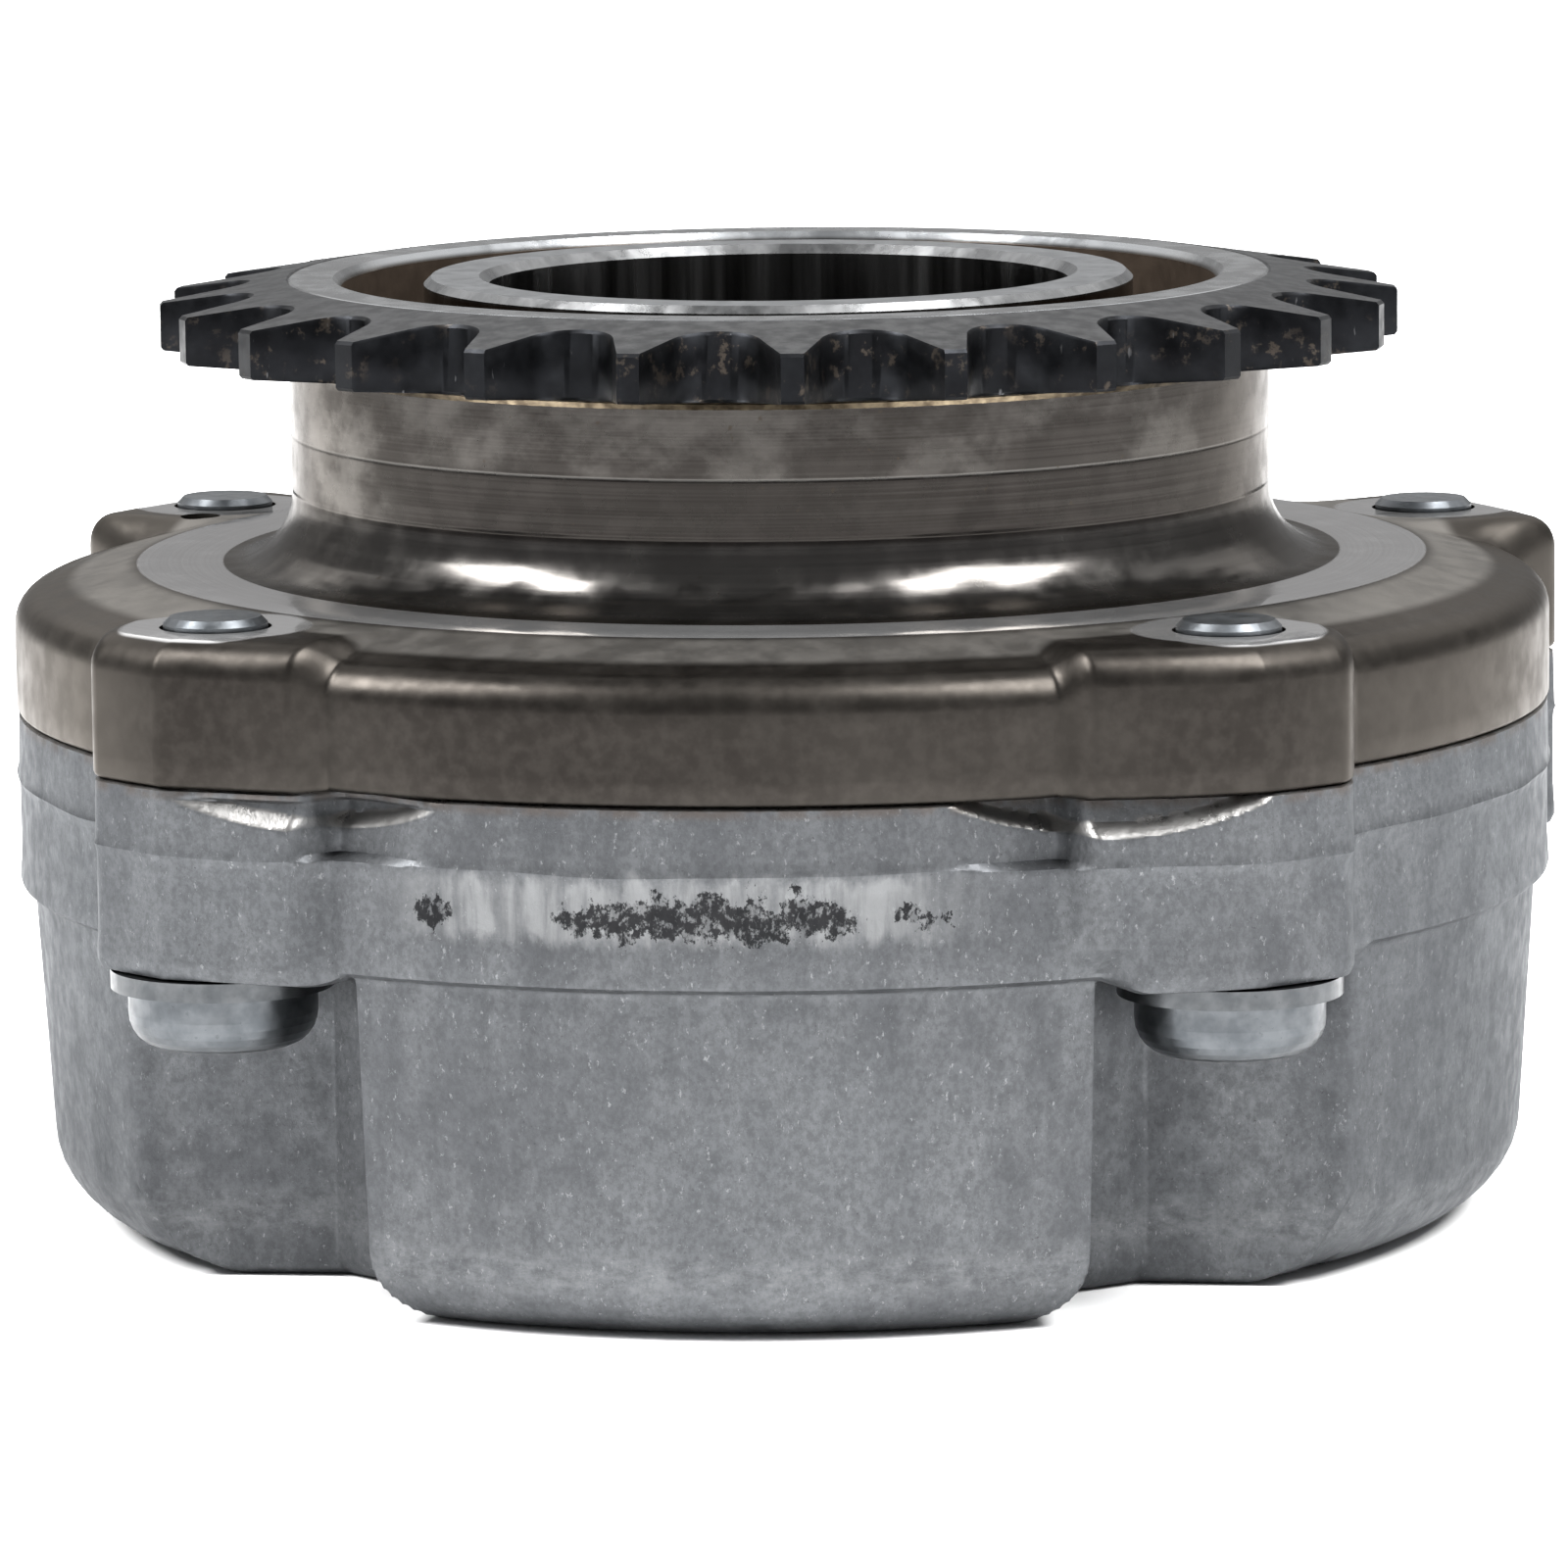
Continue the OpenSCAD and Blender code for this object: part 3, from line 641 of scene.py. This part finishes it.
def cover_steel():
    m = Mat("cover_steel", 0.92, (0.68, 0.66, 0.64))
    skin = m.step(m.noise(0.07, 5, seed=3), 0.35, 0.65)
    colour = m.blend(skin, (0.0164, 0.0144, 0.0126), (0.0239, 0.0214, 0.0188))
    # painted light: the cover is lighter at the left and right, where the light falls on its sides
    painted_side_light = m.larger(m.step(m.x, -27, -36), m.times(m.step(m.x, 28, 38), 0.5))
    colour = m.coat(colour, painted_side_light, (0.0578, 0.0523, 0.0457), 0.8)
    grain = m.step(m.noise(1.3, 6, seed=8), 0.35, 0.7)
    colour = m.coat(colour, grain, (0.042, 0.0378, 0.0336), 0.3)
    # painted highlight on the shoulder's upward faces
    painted_shoulder_highlight = m.times(m.band(m.r, 35.9, 39.2, 0.5), m.step(m.up(), 0.7, 0.9))
    colour = m.coat(colour, painted_shoulder_highlight, (0.190, 0.181, 0.168), 0.8)
    colour, neck, lines = turned_neck(m, colour)
    colour, land = machined_faces(m, colour)
    # the gap's wall is stained
    gap = m.times(m.step(m.r, 24.6, 24.4), m.step(m.z, 51.15, 51.05))
    colour = m.blend(gap, colour, (0.060, 0.045, 0.034))
    rough = m.step(m.noise(0.5, 5, seed=13), 0.3, 0.7, 0.32, 0.44)
    polish = m.step(m.z, 40.6, 39.8, 0.12, 0.16)
    rough = m.minus(rough, m.times(neck, polish))
    rough = m.minus(rough, m.times(land, 0.27))
    rough = m.plus(rough, m.times(gap, 0.3))
    height = m.plus(m.times(m.times(lines, neck), 0.45), m.times(m.noise(1.5, 5, seed=14), 0.5))
    return m.finish(colour, rough, height, 0.22, 0.03)


def sprocket_steel():
    m = Mat("sprocket_steel", 0.92)
    skin = m.step(m.noise(0.4, 5), 0.35, 0.65)
    colour = m.blend(skin, (0.004, 0.0043, 0.0051), (0.0071, 0.0077, 0.009))
    mottle = m.step(m.noise(0.9, 7, (1, 1, 1), 0.7, 19), 0.56, 0.63)
    patchy = m.step(m.noise(0.11, 3, seed=29), 0.42, 0.58)
    colour = m.blend(m.times(m.times(mottle, patchy), 0.75), colour, (0.045, 0.037, 0.030))
    scratch = m.step(m.noise(1.6, 3, (1, 1, 0.25), 0.7, 37), 0.68, 0.73)
    colour = m.coat(colour, scratch, (0.12, 0.12, 0.124), 0.4)
    top = m.times(m.step(m.up(), 0.85, 0.96), 0.9)
    ground = m.step(m.noise(0.6, 5, seed=7), 0.3, 0.7)
    ground = m.blend(ground, (0.0055, 0.0057, 0.0063), (0.0101, 0.0106, 0.0115))
    colour = m.blend(top, colour, ground)
    rough = m.step(m.noise(0.9, 4, seed=12), 0.3, 0.7, 0.34, 0.50)
    return m.finish(colour, rough, m.noise(1.4, 5, seed=21), 0.2, 0.04)


def sleeve_steel():
    m = Mat("sleeve_steel", 1.0)
    streak = m.noise(0.9, 4, (1, 1, 0.03), 0.6, 3)
    colour = m.blend(m.step(streak, 0.35, 0.65), (0.07, 0.0686, 0.0665), (0.168, 0.1666, 0.1645))
    end = m.step(m.up(), 0.5, 0.9)
    colour = m.blend(end, colour, (0.162, 0.1665, 0.171))
    outer = m.times(m.step(m.r, 19.2, 19.5), m.step(m.z, 51.15, 51.0))
    colour = m.blend(outer, colour, (0.085, 0.066, 0.052))
    rough = m.step(m.noise(0.7, 3, (1, 1, 0.05), seed=5), 0.3, 0.7, 0.16, 0.28)
    rough = m.plus(rough, m.times(end, 0.14))
    return m.finish(colour, rough, streak, 0.08, 0.02)


def metal(name, dark, light, rough, scale=0.8, metallic=0.95, bump=0.15):
    m = Mat(name, metallic)
    colour = m.blend(m.step(m.noise(scale, 5), 0.3, 0.7), dark, light)
    marks = m.step(m.noise(scale * 3.2, 3, seed=9), 0.66, 0.72)
    colour = m.blend(m.times(marks, 0.35), colour, tuple(c * 0.55 for c in dark))
    spread = m.step(m.noise(scale * 1.4, 4, seed=5), 0.3, 0.7, rough - 0.06, rough + 0.08)
    return m.finish(colour, spread, m.noise(scale * 2, 5, seed=2), bump, 0.03)


# the looks of the CAD's own pieces
LOOKS = {
    "screw": metal("zinc_plate", (0.0608, 0.0663, 0.0719), (0.093, 0.0992, 0.1054), 0.36),
    "washer": metal("zinc_bright", (0.0519, 0.0554, 0.0588), (0.0826, 0.0861, 0.0896), 0.34),
    "braze": metal("braze_gold", (0.026, 0.0191, 0.0117), (0.0868, 0.0694, 0.0456), 0.38,
                   scale=1.6),
    "rotor": metal("sintered_steel", (0.182, 0.189, 0.196), (0.252, 0.259, 0.266), 0.46,
                   scale=1.4, metallic=0.9, bump=0.3),
    "spring": metal("spring_steel", (0.10, 0.095, 0.09), (0.17, 0.16, 0.15), 0.38),
    "hard": metal("ground_steel", (0.46, 0.47, 0.48), (0.58, 0.59, 0.60), 0.28),
    "seal": metal("seal_polymer", (0.022, 0.022, 0.024), (0.04, 0.04, 0.043), 0.55,
                  scale=1.2, metallic=0.0),
}
SLEEVE = sleeve_steel()


def look_of(node):
    if node == "sleeve":
        return SLEEVE
    for part in ("screw", "washer", "braze"):
        if node.startswith(part):
            return LOOKS[part]
    if node == "rotor":
        return LOOKS["rotor"]
    if "spring" in node and "seat" not in node:
        return LOOKS["spring"]
    return LOOKS["seal"] if "seal" in node else LOOKS["hard"]


def wear(obj, material):
    obj.data.materials.clear()
    obj.data.materials.append(material)


for piece, node, slot, material in (
    (housing, "housing", "housing_aluminium", cast_aluminium()),
    (cover, "cover", "cover_steel", cover_steel()),
    (sprocket, "sprocket", "sprocket_steel", sprocket_steel()),
):
    wear(piece, material)
    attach(piece, "housing_body")
    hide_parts(node)

for name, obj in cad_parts.items():
    if name not in ("housing", "cover", "sprocket"):
        wear(obj, look_of(name))


# ---- stage, light and camera ----

FLOOR_HALF = 4
CAMERA_AT, CAMERA_AIM = (0.0516, -0.4849, 0.0979), (0, 0, 0.0230)
CAMERA_LENS, CAMERA_SENSOR, CAMERA_ROLL = 203.6, 36, -0.64
LIGHT_AIM = (0, 0, 0.03)


def floor():
    mesh = bpy.data.meshes.new("floor")
    h = FLOOR_HALF
    mesh.from_pydata([(-h, -h, 0), (h, -h, 0), (h, h, 0), (-h, h, 0)], [], [(0, 1, 2, 3)])
    obj = bpy.data.objects.new("floor", mesh)
    bpy.context.scene.collection.objects.link(obj)
    m = bpy.data.materials.new("floor_paper")
    m.use_nodes = True
    b = m.node_tree.nodes["Principled BSDF"]
    b.inputs["Base Color"].default_value = (0.90, 0.90, 0.90, 1)
    b.inputs["Roughness"].default_value = 0.9
    wear(obj, m)


def area(name, where, aim, size, power):
    data = bpy.data.lights.new(name, "AREA")
    data.shape = "RECTANGLE"
    data.size, data.size_y = size
    data.energy = power
    obj = bpy.data.objects.new(name, data)
    obj.location = where
    obj.rotation_euler = (Vector(aim) - Vector(where)).to_track_quat("-Z", "Y").to_euler()
    bpy.context.scene.collection.objects.link(obj)


floor()
area("soft_left", (-0.61, -0.20, 0.71), LIGHT_AIM, (0.34, 0.50), 25.0)
area("soft_right", (0.51, -0.21, 0.79), LIGHT_AIM, (0.46, 0.56), 30.0)
area("soft_back", (0.0, 1.15, 1.00), (0, 0.75, 0), (2.6, 1.2), 14.0)

world = bpy.data.worlds.new("studio")
world.use_nodes = True
sky = world.node_tree.nodes["Background"]
sky.inputs["Color"].default_value = (0.95, 0.96, 0.98, 1)
sky.inputs["Strength"].default_value = 0.40
bpy.context.scene.world = world
bpy.context.scene.view_settings.view_transform = "Standard"

camera = bpy.data.objects.new("camera", bpy.data.cameras.new("camera"))
camera.data.sensor_width = CAMERA_SENSOR
camera.data.lens = CAMERA_LENS
camera.location = CAMERA_AT
aim = Vector(CAMERA_AIM) - camera.location
look = aim.to_track_quat("-Z", "Y").to_matrix()
roll = Matrix.Rotation(math.radians(CAMERA_ROLL), 3, "Z")
camera.rotation_euler = (look @ roll).to_euler()
camera.data.clip_start, camera.data.clip_end = 0.01, 20
bpy.context.scene.collection.objects.link(camera)
bpy.context.scene.camera = camera
